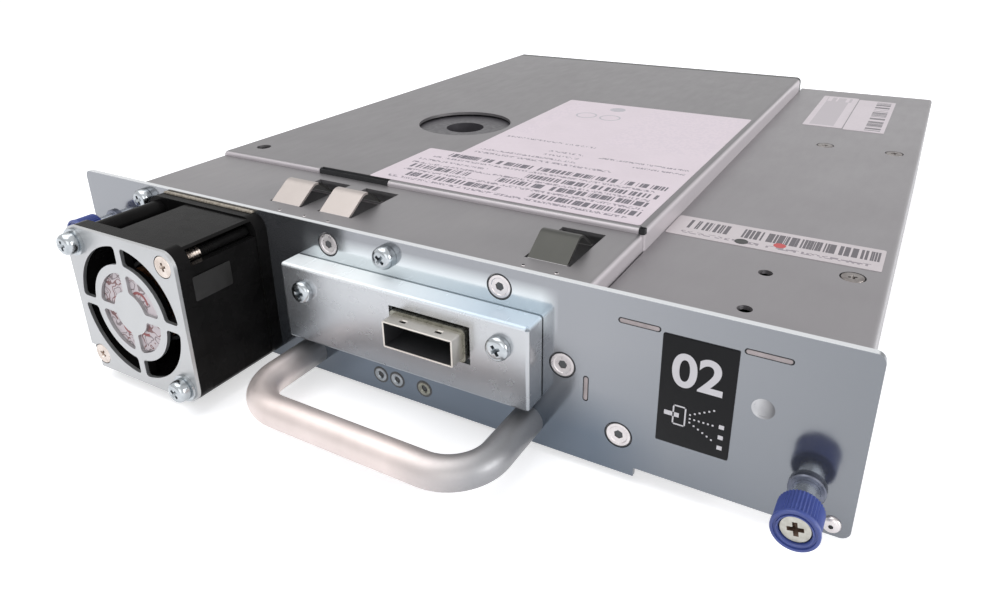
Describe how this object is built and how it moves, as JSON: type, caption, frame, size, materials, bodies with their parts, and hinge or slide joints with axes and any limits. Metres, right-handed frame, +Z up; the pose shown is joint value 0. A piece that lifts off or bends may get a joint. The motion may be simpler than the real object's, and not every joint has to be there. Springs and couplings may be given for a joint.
{
  "type": "data tape drive",
  "caption": "Half-height data tape drive in a library sled, with rear panel, cooling fan, cable port box, pull handle, captive thumbscrews and a side compartment.",
  "frame": {"origin": "middle of the sled's footprint, at the level of the drive's underside", "axes": "+X to the right along the rear panel seen from outside, +Y from the rear panel into the library, +Z up"},
  "size_m": [0.2146, 0.2834, 0.0443],
  "materials": {
    "zinc": "bright zinc-plated steel sheet",
    "grey_sheet": "satin grey galvanised steel sheet",
    "cast": "die-cast aluminium",
    "steel": "nickel-plated steel",
    "brass_screw": "yellow-passivated steel",
    "handle": "satin anodised rod",
    "fan_black": "satin black moulding",
    "guard": "satin grey stamped sheet",
    "knob_blue": "satin blue moulding",
    "cage": "warm nickel plate",
    "insulator": "black connector moulding",
    "board": "green solder mask",
    "copper": "wound copper and laminations",
    "reel": "dark grey moulding",
    "bezel": "dark grey moulding",
    "shaft": "ground steel"
  },
  "bodies": {
    "sled": {"rear_panel": "zinc", "panel_studs": "steel", "panel_rivets": "steel", "panel_screws": "steel", "corner_rivet": "steel", "fan_frame": "fan_black", "fan_bearing": "brass_screw", "fan_stator": "copper", "fan_guard": "guard", "fan_screws_flush": "brass_screw", "fan_screws_proud": "steel", "fan_washers": "steel", "interface_cover": "zinc", "interface_screws": "steel", "port_carrier": "zinc", "interface_board": "board", "port_cage": "cage", "port_tongue": "insulator", "handle": "handle", "handle_screws": "steel", "left_thumb_bush": "steel", "right_thumb_bush": "steel", "drive_base": "cast", "drive_top_cover": "grey_sheet", "drive_bottom_cover": "grey_sheet", "front_bezel": "bezel", "main_board": "board", "reel_spindle": "shaft", "reel_motor": "copper", "clutch_spindle": "shaft", "guide_pins": "shaft", "head_rods": "shaft", "rear_bracket": "grey_sheet", "wing_cover": "grey_sheet", "wing_base": "grey_sheet", "wing_posts": "steel", "wing_screws": "steel", "drive_side_screws": "steel", "wing_board": "board", "board_spacers": "insulator", "docking_connector": "insulator"},
    "fan_rotor": {"fan_rotor": "fan_black", "fan_shaft": "shaft"},
    "left_clip": {"left_thumb_clip": "steel"},
    "left_screw": {"left_thumb_screw": "steel", "left_thumb_knob": "knob_blue"},
    "right_clip": {"right_thumb_clip": "steel"},
    "right_screw": {"right_thumb_screw": "steel", "right_thumb_knob": "knob_blue"},
    "takeup_reel": {"takeup_reel": "reel"},
    "cartridge_clutch": {"cartridge_clutch": "steel"},
    "cartridge_tray": {"cartridge_tray": "zinc"},
    "tape_head": {"tape_head": "cast"},
    "guide_roller_1": {"guide_roller_1": "shaft"},
    "guide_roller_2": {"guide_roller_2": "shaft"},
    "guide_roller_3": {"guide_roller_3": "shaft"},
    "guide_roller_4": {"guide_roller_4": "shaft"}
  },
  "joints": [
    {"name": "fan_spin", "type": "hinge", "parent": "sled", "child": "fan_rotor", "pos_m": [-0.055, -0.12225, 0.0233], "axis": [0, 1, 0], "continuous": true},
    {"name": "left_screw_slide", "type": "slide", "parent": "sled", "child": "left_clip", "axis": [0, 1, 0], "range_m": [0, 0.0048]},
    {"name": "left_screw_turn", "type": "hinge", "parent": "left_clip", "child": "left_screw", "pos_m": [-0.0975, -0.11925, 0.03], "axis": [0, 1, 0], "continuous": true},
    {"name": "right_screw_slide", "type": "slide", "parent": "sled", "child": "right_clip", "axis": [0, 1, 0], "range_m": [0, 0.0048]},
    {"name": "right_screw_turn", "type": "hinge", "parent": "right_clip", "child": "right_screw", "pos_m": [0.0987, -0.11925, 0.013], "axis": [0, 1, 0], "continuous": true},
    {"name": "takeup_reel_spin", "type": "hinge", "parent": "sled", "child": "takeup_reel", "pos_m": [-0.0429, -0.00375, 0.025], "axis": [0, 0, 1], "continuous": true},
    {"name": "clutch_spin", "type": "hinge", "parent": "sled", "child": "cartridge_clutch", "pos_m": [-0.0222, 0.08755, 0.013], "axis": [0, 0, 1], "continuous": true},
    {"name": "tray_slide", "type": "slide", "parent": "sled", "child": "cartridge_tray", "axis": [0, 1, 0], "range_m": [0, 0.01]},
    {"name": "head_lift", "type": "slide", "parent": "sled", "child": "tape_head", "axis": [0, 0, 1], "range_m": [-0.0025, 0.0025]},
    {"name": "guide_roller_1_spin", "type": "hinge", "parent": "sled", "child": "guide_roller_1", "pos_m": [0.0338, 0.03225, 0.027], "axis": [0, 0, 1], "continuous": true},
    {"name": "guide_roller_2_spin", "type": "hinge", "parent": "sled", "child": "guide_roller_2", "pos_m": [0.0388, 0.01625, 0.027], "axis": [0, 0, 1], "continuous": true},
    {"name": "guide_roller_3_spin", "type": "hinge", "parent": "sled", "child": "guide_roller_3", "pos_m": [0.0388, -0.02375, 0.027], "axis": [0, 0, 1], "continuous": true},
    {"name": "guide_roller_4_spin", "type": "hinge", "parent": "sled", "child": "guide_roller_4", "pos_m": [0.0288, -0.04575, 0.027], "axis": [0, 0, 1], "continuous": true}
  ]
}
